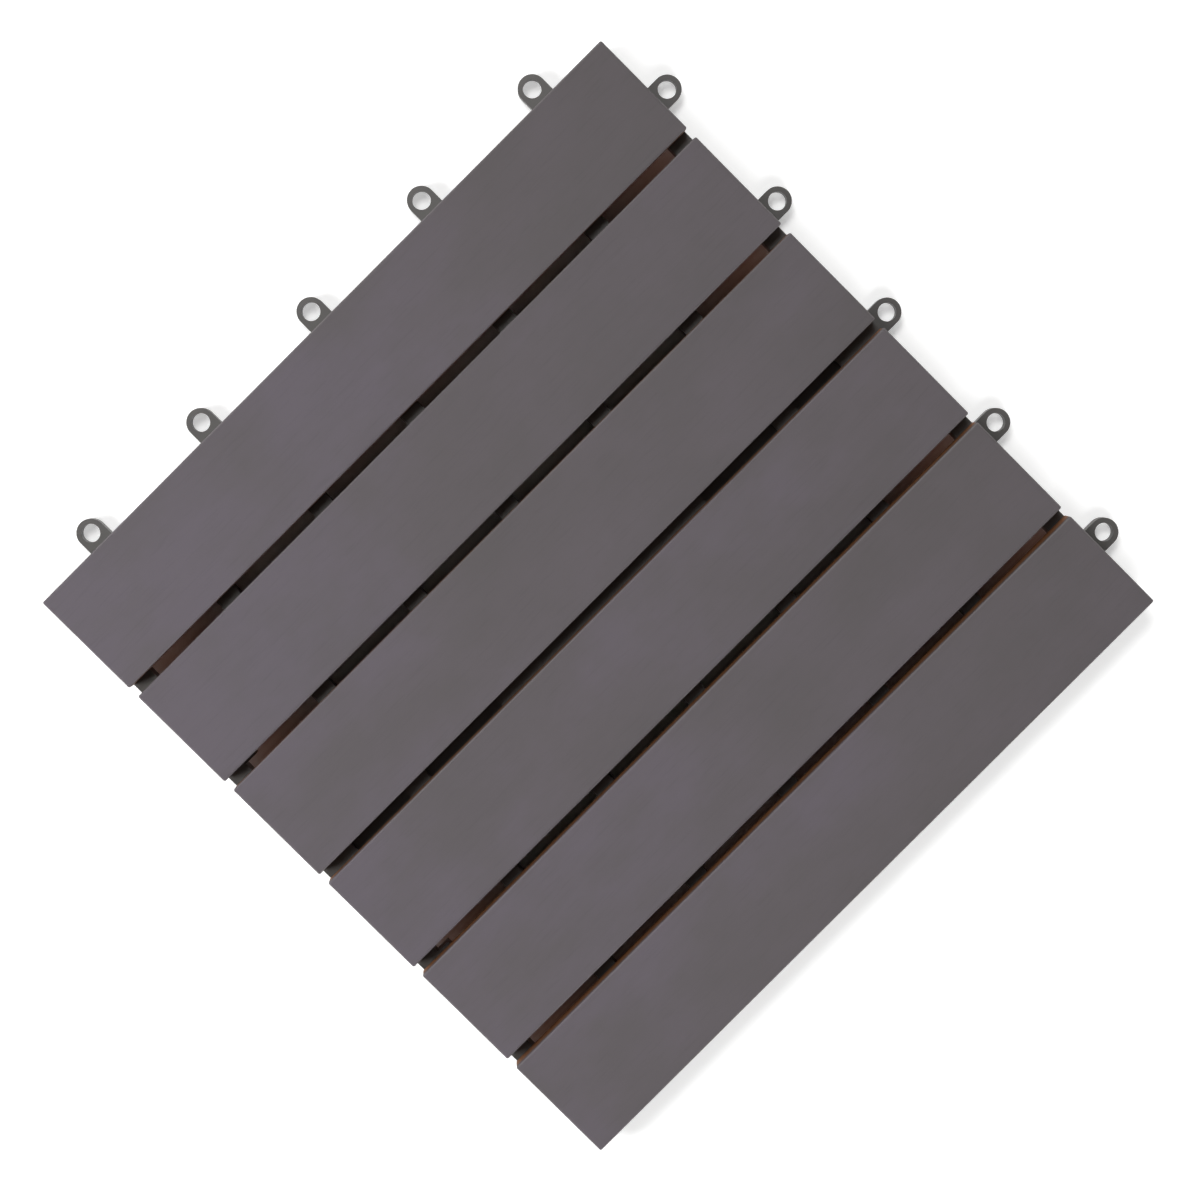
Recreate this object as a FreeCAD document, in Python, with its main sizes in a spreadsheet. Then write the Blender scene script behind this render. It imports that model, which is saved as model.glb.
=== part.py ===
"""Interlocking deck tile: six hardwood slats screwed from below onto one moulded plastic base.

The origin is the middle of the tile on the ground, +Z is up and the slats run along Y. The base has a
row of connecting loops outside its +Y and -X sides. On its -Y and +X sides it has pins, each hanging in
a pocket of the rim, and the next tile's loops slip over them. All sizes are in millimetres.
"""

import FreeCAD, Part
import math
import os
import re
import Sketcher

doc = FreeCAD.newDocument("deck_tile")

# Driving dimensions
SIZES = {
    "tile_side": 300.0,
    "slat_count": 6,
    "gap_width": 4.5,
    "slat_thick": 12.0,
    "slat_round": 0.8,
    "slat_ease": 0.6,
    "base_rise": 12.0,
    "base_inset": 0.5,
    "base_corner": 3.0,
    "plate_thick": 2.0,
    "wall_thick": 1.6,
    "drain_rise": 2.0,
    "rim_width": 8.5,
    "bar_width": 9.0,
    "crossbar_count": 5,
    "dip_depth": 3.0,
    "dip_margin": 1.0,
    "landing_length": 12.0,
    "loop_count": 5,
    "loop_reach": 6.5,
    "loop_hole": 3.6,
    "loop_ring": 2.0,
    "loop_thick": 6.0,
    "pin_slack": 0.3,
    "pin_floor": 1.5,
    "pin_lead": 0.6,
    "pocket_slack": 0.9,
    "foot_side": 12.0,
    "screw_rows": 3,
    "screw_shank": 1.5,
    "screw_head": 2.9,
    "screw_head_rise": 2.2,
    "screw_bite": 9.0,
    "screw_slack": 0.25,
    "pilot_slack": 0.1,
    "pilot_spare": 0.5,
}

# Sizes that follow from the driving dimensions
FORMULAS = {
    "slat_width": "(tile_side - (slat_count - 1) * gap_width) / slat_count",
    "slat_pitch": "slat_width + gap_width",
    "slat_first": "(slat_width - tile_side) / 2",
    "base_side": "tile_side - 2 * base_inset",
    "room_side": "base_side - 2 * rim_width",
    "plate_low": "base_rise - plate_thick",
    "channel_width": "bar_width - 2 * wall_thick",
    "rim_place": "(base_side - rim_width) / 2",
    "rim_core": "rim_width - 2 * wall_thick",
    "crossbar_pitch": "tile_side / (crossbar_count + 1)",
    "crossbar_first": "crossbar_pitch * (1 - crossbar_count) / 2",
    "half_bar_length": "(room_side - bar_width) / 2",
    "bay_length": "crossbar_pitch - bar_width",
    "bay_first": "crossbar_first + crossbar_pitch / 2",
    "end_bay_length": "half_bar_length + crossbar_first",
    "end_bay_place": "crossbar_first - (bar_width + end_bay_length) / 2",
    "loop_pitch": "tile_side / loop_count",
    "loop_first": "(loop_pitch - tile_side) / 2",
    "loop_place": "tile_side / 2 + loop_reach",
    "loop_radius": "loop_hole + loop_ring",
    "pin_place": "tile_side / 2 - loop_reach",
    "pin_radius": "loop_hole - pin_slack",
    "pocket_width": "2 * (loop_radius + pocket_slack)",
    "pocket_depth": "loop_reach + loop_radius + pocket_slack - base_inset",
    "housing_width": "pocket_width + 2 * wall_thick",
    "housing_depth": "pocket_depth + wall_thick",
    "loop_dip_length": "end_bay_length - landing_length - dip_margin",
    "pin_dip_length": "end_bay_length + rim_width - housing_depth - 2 * dip_margin",
    "foot_core": "foot_side - 2 * wall_thick",
    "rim_foot_first": "loop_first + loop_pitch / 2",
    "screw_first": "crossbar_first",
    "screw_pitch": "-2 * screw_first / (screw_rows - 1)",
    "pilot_depth": "screw_bite + pilot_spare",
    "inner_bay_count": "crossbar_count - 3",
}

# How many sides stand for the circle of a screw's stem and its holes, and of a screw's head
STEM_SIDES = 6
HEAD_SIDES = 12

# What repeats, as rows of axis, count and pitch
CROSSBARS = ("Y", "crossbar_count", "crossbar_pitch")
SLATS = ("X", "slat_count", "slat_pitch")
SCREWS = ("Y", "screw_rows", "screw_pitch")
LOOPS = {"rows": [("X", "loop_count", "loop_pitch")], "turns": 2, "turn_angle": 90}


def fill_sheet():
    """Write the driving dimensions and the formulas into a sheet, one alias for each row."""
    page = doc.addObject("Spreadsheet::Sheet", "sizes")
    contents = {alias: str(size) for alias, size in SIZES.items()}
    contents.update({alias: "=" + formula for alias, formula in FORMULAS.items()})
    for row, (alias, content) in enumerate(contents.items(), start=1):
        page.set("A%d" % row, alias)
        page.set("B%d" % row, content)
        page.setAlias("B%d" % row, alias)
    doc.recompute()
    return page


sheet = fill_sheet()


def value(expression):
    """What an expression of cell names comes to."""
    return float(sheet.evalExpression(expression))


def bind(thing, path, expression):
    """Tie a property of an object to an expression of cell names."""
    thing.setExpression(path, re.sub(r"[a-z]\w*", r"sizes.\g<0>", expression))


def new_body(name):
    """A body that holds one sub-part."""
    body = doc.addObject("PartDesign::Body", name)
    body.Label = name
    return body


def origin_part(body, role):
    """A plane or an axis of the body's own origin."""
    return next(part for part in body.Origin.OriginFeatures if part.Role == role)


def new_sketch(body, name, plane="XY_Plane", **place):
    """A sketch on a plane of the body, its own origin moved along the plane's x, y and z."""
    sketch = body.newObject("Sketcher::SketchObject", name)
    sketch.AttachmentSupport = (origin_part(body, plane), [""])
    sketch.MapMode = "FlatFace"
    for axis, expression in place.items():
        bind(sketch, "AttachmentOffset.Base." + axis, expression)
    return sketch


def dimension(sketch, expression, kind, *where):
    """Add a size to a sketch and tie it to an expression."""
    index = sketch.addConstraint(Sketcher.Constraint(kind, *where, value(expression)))
    bind(sketch, "Constraints[%d]" % index, expression)


def add_line(sketch, start, end):
    """Draw a line between two points of the sketch's plane and return its number."""
    return sketch.addGeometry(Part.LineSegment(FreeCAD.Vector(*start, 0), FreeCAD.Vector(*end, 0)))


def add_outline(sketch, points):
    """Draw a closed outline of straight sides and return their numbers."""
    sides = [add_line(sketch, *ends) for ends in zip(points, points[1:] + points[:1])]
    for side, following in zip(sides, sides[1:] + sides[:1]):
        sketch.addConstraint(Sketcher.Constraint("Coincident", side, 2, following, 1))
    return sides


def add_rectangle(sketch, width, length):
    """Draw a rectangle centred on the sketch's origin."""
    x, y = value(width) / 2, value(length) / 2
    sides = add_outline(sketch, [(-x, -y), (x, -y), (x, y), (-x, y)])
    for side, direction in zip(sides, ["Horizontal", "Vertical"] * 2):
        sketch.addConstraint(Sketcher.Constraint(direction, side))
    sketch.addConstraint(Sketcher.Constraint("Symmetric", sides[0], 1, sides[2], 1, -1, 1))
    dimension(sketch, width, "DistanceX", sides[0], 1, sides[0], 2)
    dimension(sketch, length, "DistanceY", sides[1], 1, sides[1], 2)


def add_circle(sketch, radius):
    """Draw a circle about the sketch's origin and return its number."""
    middle, upright = FreeCAD.Vector(0, 0, 0), FreeCAD.Vector(0, 0, 1)
    index = sketch.addGeometry(Part.Circle(middle, upright, value(radius)))
    sketch.addConstraint(Sketcher.Constraint("Coincident", index, 3, -1, 1))
    dimension(sketch, radius, "Radius", index)
    return index


def add_polygon(sketch, radius, count):
    """Draw a regular polygon about the sketch's origin, its corners on a circle of this radius."""
    circle = add_circle(sketch, radius)
    sketch.toggleConstruction(circle)
    r, turn = value(radius), 2 * math.pi / count
    sides = add_outline(sketch, [(r * math.cos(k * turn), r * math.sin(k * turn)) for k in range(count)])
    for side in sides:
        sketch.addConstraint(Sketcher.Constraint("PointOnObject", side, 1, circle))
    for side in sides[1:]:
        sketch.addConstraint(Sketcher.Constraint("Equal", sides[0], side))
    sketch.addConstraint(Sketcher.Constraint("PointOnObject", sides[0], 1, -1))


def add_tab(sketch, radius, root):
    """Draw a tab with a round end about the sketch's origin, its straight sides running back to its root."""
    r, y = value(radius), -value(root)
    full = Part.Circle(FreeCAD.Vector(0, 0, 0), FreeCAD.Vector(0, 0, 1), r)
    arc = sketch.addGeometry(Part.ArcOfCircle(full, 0, math.pi))
    left = add_line(sketch, (-r, 0), (-r, y))
    back = add_line(sketch, (-r, y), (r, y))
    right = add_line(sketch, (r, y), (r, 0))
    for constraint in (
        ("Coincident", arc, 3, -1, 1),
        ("Tangent", arc, 2, left, 1),
        ("Tangent", right, 2, arc, 1),
        ("Coincident", left, 2, back, 1),
        ("Coincident", back, 2, right, 1),
        ("Vertical", left),
        ("Horizontal", back),
    ):
        sketch.addConstraint(Sketcher.Constraint(*constraint))
    dimension(sketch, radius, "Radius", arc)
    dimension(sketch, root, "DistanceY", back, 1, -1, 1)


def add_profile(sketch, corners):
    """Draw a closed outline through corners, each given as how far it is across and up from the origin."""
    points = [(value(across), value(up)) for across, up in corners]
    for side, (across, up) in zip(add_outline(sketch, points), corners):
        for kind, axis, expression in (("DistanceX", -2, across), ("DistanceY", -1, up)):
            if expression == "0":
                sketch.addConstraint(Sketcher.Constraint("PointOnObject", side, 1, axis))
            else:
                dimension(sketch, expression, kind, -1, 1, side, 1)


def extrude(body, kind, sketch, length):
    """Raise a Pad from a sketch, or sink a Pocket under it."""
    feature = body.newObject("PartDesign::" + kind, "%s_%s" % (sketch.Name, kind.lower()))
    feature.Profile = (sketch, [""])
    bind(feature, "Length", length)
    body.Tip = feature
    return feature


def repeat(body, features, rows=(), turns=1, turn_angle=360):
    """Repeat features along rows of (axis, count, pitch), then by turns about the upright axis."""
    steps = []
    for axis, count, pitch in rows:
        line = body.newObject("PartDesign::LinearPattern", "%s_along_%s" % (features[0].Name, axis.lower()))
        line.Direction = (origin_part(body, axis + "_Axis"), [""])
        line.Mode = "Spacing"
        bind(line, "Occurrences", count)
        bind(line, "Offset", pitch)
        steps.append(line)
    if turns > 1:
        ring = body.newObject("PartDesign::PolarPattern", features[0].Name + "_around")
        ring.Axis = (origin_part(body, "Z_Axis"), [""])
        ring.Angle = turn_angle
        ring.Occurrences = turns
        steps.append(ring)
    if len(steps) > 1:
        pattern = body.newObject("PartDesign::MultiTransform", features[0].Name + "_pattern")
        pattern.Transformations = steps
    else:
        pattern = steps[0]
    pattern.Originals = features
    body.Tip = pattern


def dress(body, kind, path, size, test):
    """Fillet or chamfer those edges of the body so far whose box passes a test."""
    doc.recompute()
    last = body.Tip
    edges = [name for name, edge in named_edges(last.Shape) if test(edge.BoundBox)]
    feature = body.newObject("PartDesign::" + kind, "%s_%s" % (last.Name, kind.lower()))
    feature.Base = (last, edges)
    bind(feature, path, size)
    body.Tip = feature


def named_edges(shape):
    """Each edge of a shape with its name."""
    return [("Edge%d" % number, edge) for number, edge in enumerate(shape.Edges, start=1)]


def near(length, target):
    """Whether two lengths are the same, for picking edges."""
    return abs(length - target) < 0.01


def make_slat(number):
    """One slat: rounded along its top, eased along its underside and drilled for its screws."""
    body = new_body("slat_%d" % number)
    board = new_sketch(body, "board_%d" % number)
    add_rectangle(board, "slat_width", "tile_side")
    extrude(body, "Pad", board, "slat_thick")
    top = value("slat_thick")
    dress(body, "Fillet", "Radius", "slat_round", lambda box: near(box.ZMin, top))
    dress(body, "Chamfer", "Size", "slat_ease", lambda box: near(box.ZMax, 0))
    pilot = new_sketch(body, "pilot_%d" % number, y="screw_first", z="pilot_depth")
    add_polygon(pilot, "screw_shank + pilot_slack", STEM_SIDES)
    repeat(body, [extrude(body, "Pocket", pilot, "pilot_depth")], [SCREWS])
    bind(body, "Placement.Base.x", "slat_first + %d * slat_pitch" % (number - 1))
    bind(body, "Placement.Base.z", "base_rise")
    return body


def new_block(name, width, length, low, high, rows=(), turns=1, turn_angle=360, core=None, **place):
    """A body of upright blocks between two heights, hollow where core gives a width and a length."""
    body = new_body(name)
    body.AllowCompound = True
    sketch = new_sketch(body, name + "_sketch", z=low, **place)
    add_rectangle(sketch, width, length)
    if core:
        add_rectangle(sketch, *core)
    pad = extrude(body, "Pad", sketch, "%s - (%s)" % (high, low))
    if rows or turns > 1:
        repeat(body, [pad], rows, turns, turn_angle)
    return body


def add_frame(body):
    """The rim with its corner feet, the crossbars and the middle bar, all flush under the slats."""
    rim = new_sketch(body, "rim", z="drain_rise")
    add_rectangle(rim, "base_side", "base_side")
    extrude(body, "Pad", rim, "base_rise - drain_rise")
    corner_foot = new_sketch(body, "corner_foot", x="rim_place", y="rim_place")
    add_rectangle(corner_foot, "rim_width", "rim_width")
    repeat(body, [extrude(body, "Pad", corner_foot, "plate_low")], turns=4)
    edge, upright = value("base_side / 2"), value("drain_rise")

    def at_outer_corner(box):
        """Whether an edge stands upright at one of the rim's four outer corners."""
        at_corner = near(abs(box.Center.x), edge) and near(abs(box.Center.y), edge)
        return at_corner and box.ZLength >= upright

    dress(body, "Fillet", "Radius", "base_corner", at_outer_corner)
    room = new_sketch(body, "room", z="base_rise")
    add_rectangle(room, "room_side", "room_side")
    extrude(body, "Pocket", room, "base_rise")
    middle_bar = new_sketch(body, "middle_bar", z="drain_rise")
    add_rectangle(middle_bar, "bar_width", "room_side")
    extrude(body, "Pad", middle_bar, "base_rise - drain_rise")
    crossbar = new_sketch(body, "crossbar", y="crossbar_first", z="drain_rise")
    add_rectangle(crossbar, "room_side", "bar_width")
    repeat(body, [extrude(body, "Pad", crossbar, "base_rise - drain_rise")], [CROSSBARS])


def make_hollows():
    """What is cut out of the frame: a channel up the inside of each bar, cores, pockets, dips and holes."""
    ground, plate = "0", "plate_low"
    dip_plate = "plate_low - dip_depth"
    bar_half = "(half_bar_length + bar_width) / 2"
    mirrored = "-2 * bay_first"
    bar_side = "crossbar_first - bar_width / 2 - dip_margin"
    return [
        new_block(
            "corner_cores",
            "rim_core",
            "rim_core",
            ground,
            plate,
            turns=4,
            x="rim_place",
            y="rim_place",
        ),
        new_block(
            "rim_channels",
            "room_side - 2 * wall_thick",
            "rim_core",
            ground,
            plate,
            turns=4,
            y="rim_place",
        ),
        new_block(
            "crossbar_channels",
            "half_bar_length",
            "channel_width",
            ground,
            plate,
            rows=[("X", "2", "2 * " + bar_half), CROSSBARS],
            x="-" + bar_half,
            y="crossbar_first",
        ),
        new_block(
            "middle_channels",
            "channel_width",
            "bay_length",
            ground,
            plate,
            rows=[("Y", "inner_bay_count", "crossbar_pitch")],
            y="bay_first + crossbar_pitch",
        ),
        new_block(
            "low_channels",
            "channel_width",
            "bay_length",
            ground,
            dip_plate,
            rows=[("Y", "2", mirrored)],
            y="bay_first",
        ),
        new_block(
            "end_channels",
            "channel_width",
            "end_bay_length",
            ground,
            dip_plate,
            rows=[("Y", "2", "-2 * end_bay_place")],
            y="end_bay_place",
        ),
        new_block(
            "bay_dips",
            "bar_width",
            "bay_length - 2 * dip_margin",
            "base_rise - dip_depth",
            "base_rise",
            rows=[("Y", "2", mirrored)],
            y="bay_first",
        ),
        new_block(
            "pin_end_dip",
            "bar_width",
            "pin_dip_length",
            "base_rise - dip_depth",
            "base_rise",
            y=bar_side + " - pin_dip_length / 2",
        ),
        new_block(
            "loop_end_dip",
            "bar_width",
            "loop_dip_length",
            "base_rise - dip_depth",
            "base_rise",
            y="loop_dip_length / 2 - (%s)" % bar_side,
        ),
        new_block(
            "boss_cores",
            "foot_core",
            "foot_core",
            ground,
            plate,
            rows=[SLATS, SCREWS],
            x="slat_first",
            y="screw_first",
        ),
        new_block(
            "post_cores",
            "channel_width",
            "channel_width",
            ground,
            plate,
            rows=[CROSSBARS],
            y="crossbar_first",
        ),
        new_block(
            "pockets",
            "pocket_width",
            "pocket_depth",
            ground,
            plate,
            x="loop_first",
            y="(pocket_depth - base_side) / 2",
            **LOOPS,
        ),
        make_screw_holes(),
    ]


def make_screw_holes():
    """The holes through the crossbars' plates, one for each screw."""
    body = new_body("screw_holes")
    body.AllowCompound = True
    hole = new_sketch(body, "screw_hole", x="slat_first", y="screw_first", z="plate_low")
    add_polygon(hole, "screw_shank + screw_slack", STEM_SIDES)
    repeat(body, [extrude(body, "Pad", hole, "plate_thick")], [SLATS, SCREWS])
    return body


def make_fittings():
    """What stands in or on the hollowed frame: feet, pocket walls, pins, loops and the ribs behind them."""
    ground = "0"
    return [
        new_block(
            "bosses",
            "foot_side",
            "foot_side",
            ground,
            "base_rise",
            rows=[SLATS, SCREWS],
            core=("foot_core", "foot_core"),
            x="slat_first",
            y="screw_first",
        ),
        new_block(
            "rim_feet",
            "foot_side",
            "rim_width",
            ground,
            "plate_low",
            rows=[("X", "2", "-2 * rim_foot_first")],
            turns=4,
            core=("foot_core", "rim_core"),
            x="rim_foot_first",
            y="rim_place",
        ),
        new_block(
            "posts",
            "bar_width",
            "bar_width",
            ground,
            "plate_low - dip_depth",
            rows=[CROSSBARS],
            core=("channel_width", "channel_width"),
            y="crossbar_first",
        ),
        new_block(
            "loop_ribs",
            "wall_thick",
            "rim_core",
            "drain_rise",
            "plate_low",
            x="loop_first",
            y="rim_place",
            **LOOPS,
        ),
        make_housings(),
        make_loops(),
        make_pins(),
    ]


def make_housings():
    """The walls and the ceiling about each pocket, open to the outside."""
    body = new_body("housings")
    body.AllowCompound = True
    walls = new_sketch(body, "pocket_walls", x="loop_first", y="-base_side / 2", z="drain_rise")
    outer, inner = "housing_width / 2", "pocket_width / 2"
    corners = [
        ("-" + outer, "0"),
        ("-" + outer, "housing_depth"),
        (outer, "housing_depth"),
        (outer, "0"),
        (inner, "0"),
        (inner, "pocket_depth"),
        ("-" + inner, "pocket_depth"),
        ("-" + inner, "0"),
    ]
    add_profile(walls, corners)
    ceiling = new_sketch(body, "ceiling", x="loop_first", y="(housing_depth - base_side) / 2", z="plate_low")
    add_rectangle(ceiling, "housing_width", "housing_depth")
    pads = [
        extrude(body, "Pad", walls, "plate_low - drain_rise"),
        extrude(body, "Pad", ceiling, "plate_thick"),
    ]
    repeat(body, pads, **LOOPS)
    return body


def make_loops():
    """The connecting loops outside two sides."""
    body = new_body("loops")
    body.AllowCompound = True
    loop = new_sketch(body, "loop", x="loop_first", y="loop_place", z="drain_rise")
    add_tab(loop, "loop_radius", "loop_place - base_side / 2 + wall_thick / 2")
    add_circle(loop, "loop_hole")
    repeat(body, [extrude(body, "Pad", loop, "loop_thick")], **LOOPS)
    return body


def make_pins():
    """The pins that hang in the pockets on the other two sides, their tips chamfered to find the loops."""
    body = new_body("pins")
    body.AllowCompound = True
    pin = new_sketch(body, "pin", x="loop_first", y="-pin_place", z="pin_floor")
    add_circle(pin, "pin_radius")
    repeat(body, [extrude(body, "Pad", pin, "plate_low - pin_floor")], **LOOPS)
    tip = value("pin_floor")
    dress(body, "Chamfer", "Size", "pin_lead", lambda box: near(box.ZMax, tip))
    return body


def combine(body, name, kind, tools):
    """Cut bodies from the body so far, or fuse them to it."""
    feature = body.newObject("PartDesign::Boolean", name)
    feature.Type = kind
    feature.setObjects(tools)
    body.Tip = feature


def make_base():
    """The moulded base, one piece."""
    body = new_body("base_grid")
    add_frame(body)
    combine(body, "hollows", "Cut", make_hollows())
    combine(body, "fittings", "Fuse", make_fittings())
    return body


def make_screws():
    """The slat screws, all alike: a head under the base's plate and a stem up into the slat."""
    body = new_body("slat_screws")
    body.AllowCompound = True
    place = {"x": "slat_first", "y": "screw_first"}
    head = new_sketch(body, "screw_head_sketch", z="plate_low - screw_head_rise", **place)
    add_polygon(head, "screw_head", HEAD_SIDES)
    stem = new_sketch(body, "screw_stem_sketch", z="plate_low", **place)
    add_polygon(stem, "screw_shank", STEM_SIDES)
    pads = [
        extrude(body, "Pad", head, "screw_head_rise"),
        extrude(body, "Pad", stem, "plate_thick + screw_bite"),
    ]
    repeat(body, pads, [SLATS, SCREWS])
    return body


def write_parts(bodies):
    """Check the whole document, then write one file for each sub-part."""
    doc.recompute()
    for thing in doc.Objects:
        if {"Invalid", "Error"} & set(thing.State):
            raise RuntimeError("%s failed: %s" % (thing.Label, thing.State))
    for body in bodies:
        if body.Shape.isNull() or not body.Shape.isValid():
            raise RuntimeError("%s has no valid shape" % body.Label)
    os.makedirs("parts", exist_ok=True)
    for body in bodies:
        body.Shape.exportStep("parts/%s.step" % body.Label)
        print("%s: %d solids, %.0f mm3" % (body.Label, len(body.Shape.Solids), body.Shape.Volume))


slats = [make_slat(number) for number in range(1, int(value("slat_count")) + 1)]
write_parts(slats + [make_base(), make_screws()])
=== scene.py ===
"""Looks of one interlocking deck tile: grey-stained hardwood slats on a moulded plastic base.

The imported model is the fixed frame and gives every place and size. Each slat, the base and the screws get
a finely made piece that stands for the model's plain one, with a node-based finish on every surface.
Everything is in metres: +Z is up and the slats run along Y.
"""

from __future__ import annotations

import logging
import math
from dataclasses import dataclass
from enum import Enum
from typing import Union

import bmesh
import bpy
import numpy as np
from mathutils import Matrix, Vector

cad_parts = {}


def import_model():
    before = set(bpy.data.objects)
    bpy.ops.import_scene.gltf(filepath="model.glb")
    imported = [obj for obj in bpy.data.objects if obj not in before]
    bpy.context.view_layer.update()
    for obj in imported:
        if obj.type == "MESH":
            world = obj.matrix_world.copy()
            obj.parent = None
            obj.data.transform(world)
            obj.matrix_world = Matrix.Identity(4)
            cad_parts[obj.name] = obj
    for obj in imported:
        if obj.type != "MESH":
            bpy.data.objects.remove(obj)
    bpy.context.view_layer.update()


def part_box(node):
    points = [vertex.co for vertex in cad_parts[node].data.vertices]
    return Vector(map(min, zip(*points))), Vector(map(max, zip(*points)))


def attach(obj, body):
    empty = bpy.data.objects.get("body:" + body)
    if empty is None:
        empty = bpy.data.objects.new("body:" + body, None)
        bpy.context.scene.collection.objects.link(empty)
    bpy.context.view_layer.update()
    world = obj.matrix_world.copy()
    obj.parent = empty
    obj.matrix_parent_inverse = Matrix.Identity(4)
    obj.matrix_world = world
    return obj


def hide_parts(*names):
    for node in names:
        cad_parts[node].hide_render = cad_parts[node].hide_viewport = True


LOG = logging.getLogger("deck_tile")
MM = 0.001
Socket = bpy.types.NodeSocket
Source = Union[Socket, float, tuple]


class Slot(Enum):
    """The material slots of the model's record."""

    WOOD = "stained_wood"
    BASE = "moulded_base"
    SCREW = "screw_steel"


class Side(Enum):
    """The six sides of a box, each as the axis across it and which way it faces."""

    LEFT = (0, -1)
    RIGHT = (0, 1)
    FRONT = (1, -1)
    BACK = (1, 1)
    UNDER = (2, -1)
    TOP = (2, 1)


@dataclass(frozen=True)
class Pattern:
    """A cloudy pattern: clouds in a metre, finer layers, their strength, and the factor along each axis."""

    scale: float
    detail: float
    roughness: float
    stretch: tuple = (1.0, 1.0, 1.0)


@dataclass(frozen=True)
class Spread:
    """How a value is stretched from one range to another and held at the ends."""

    low: float
    high: float
    to_low: float = 0.0
    to_high: float = 1.0


@dataclass(frozen=True)
class Relief:
    """How strongly a pattern bends the surface, and how high it stands, in metres."""

    strength: float
    height: float


def grid_quads(rows: int, columns: int, start: int = 0, close: bool = False) -> np.ndarray:
    """Join the points of a grid, stored row after row, into four-sided faces.

    Each face takes a point, the next one along its row, and the two above them in the next row.

    Args:
        rows: how many rows the grid has.
        columns: how many points each row has.
        start: the number of the grid's first point.
        close: whether the last column is joined to the first.

    Returns:
        One line of four point numbers for each face.
    """
    faces_across = columns if close else columns - 1
    row, column = np.meshgrid(np.arange(rows - 1), np.arange(faces_across), indexing="ij")
    after = (column + 1) % columns
    low, high = start + row * columns, start + (row + 1) * columns
    return np.stack([low + column, low + after, high + after, high + column], axis=-1).reshape(-1, 4)


def cap_quads(count: int, start: int, up: bool) -> np.ndarray:
    """Close a ring of points with four-sided faces that run across it from one side to the other.

    Each face takes two neighbours on one half of the ring and the two that lie across from them.

    Args:
        count: how many points the ring has, an even number.
        start: the number of the ring's first point.
        up: whether the faces go round the way that the points do.

    Returns:
        One line of four point numbers for each face.
    """
    near = np.arange(count // 2 - 1)
    quads = start + np.stack([near, near + 1, count - 2 - near, count - 1 - near], axis=-1)
    return quads if up else quads[:, ::-1]


def closed_tube(grid: np.ndarray, start: int) -> np.ndarray:
    """Faces of a tube whose rows are rings of points, with its first and last rings closed.

    Args:
        grid: the points, as rows of rings.
        start: the number of the tube's first point.

    Returns:
        One line of four point numbers for each face.
    """
    rows, around = grid.shape[:2]
    walls = grid_quads(rows, around, start=start, close=True)
    first = cap_quads(around, start, up=False)
    last = cap_quads(around, start + (rows - 1) * around, up=True)
    return np.concatenate([walls, first, last])


def new_piece(name: str, points: np.ndarray, quads: np.ndarray) -> bpy.types.Object:
    """Put worked-out points and faces into a smooth mesh whose object sits at the origin.

    Args:
        name: the name of the piece.
        points: one line of x, y and z for each point, in metres.
        quads: one line of four point numbers for each face.

    Returns:
        The new object, linked to the scene.
    """
    mesh = bpy.data.meshes.new(name)
    mesh.vertices.add(len(points))
    mesh.vertices.foreach_set("co", points.astype(np.float32).ravel())
    mesh.loops.add(quads.size)
    mesh.loops.foreach_set("vertex_index", quads.astype(np.int32).ravel())
    mesh.polygons.add(len(quads))
    mesh.polygons.foreach_set("loop_start", np.arange(0, quads.size, 4, dtype=np.int32))
    mesh.update(calc_edges=True)
    mesh.validate()
    return smooth_object(name, mesh)


def smooth_object(name: str, mesh: bpy.types.Mesh) -> bpy.types.Object:
    """Shade a mesh smooth and put it into the scene as an object at the origin.

    Args:
        name: the name of the object.
        mesh: its mesh.

    Returns:
        The new object.
    """
    mesh.polygons.foreach_set("use_smooth", np.ones(len(mesh.polygons), dtype=bool))
    piece = bpy.data.objects.new(name, mesh)
    bpy.context.scene.collection.objects.link(piece)
    return piece


def add_attribute(piece: bpy.types.Object, name: str, values: np.ndarray) -> None:
    """Store one number for each point of a piece, for its finish to read."""
    attribute = piece.data.attributes.new(name, "FLOAT", "POINT")
    attribute.data.foreach_set("value", values.astype(np.float32))


def dress(piece: bpy.types.Object, material: bpy.types.Material, node: str) -> None:
    """Give a piece its finish, let it stand for a node of the model, and report it.

    Args:
        piece: the piece, whose mesh has no material yet.
        material: its finish.
        node: the model's node that it replaces.
    """
    piece.data.materials.append(material)
    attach(piece, "root")
    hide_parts(node)
    LOG.info("%s: %d faces", piece.name, len(piece.data.polygons))


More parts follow.
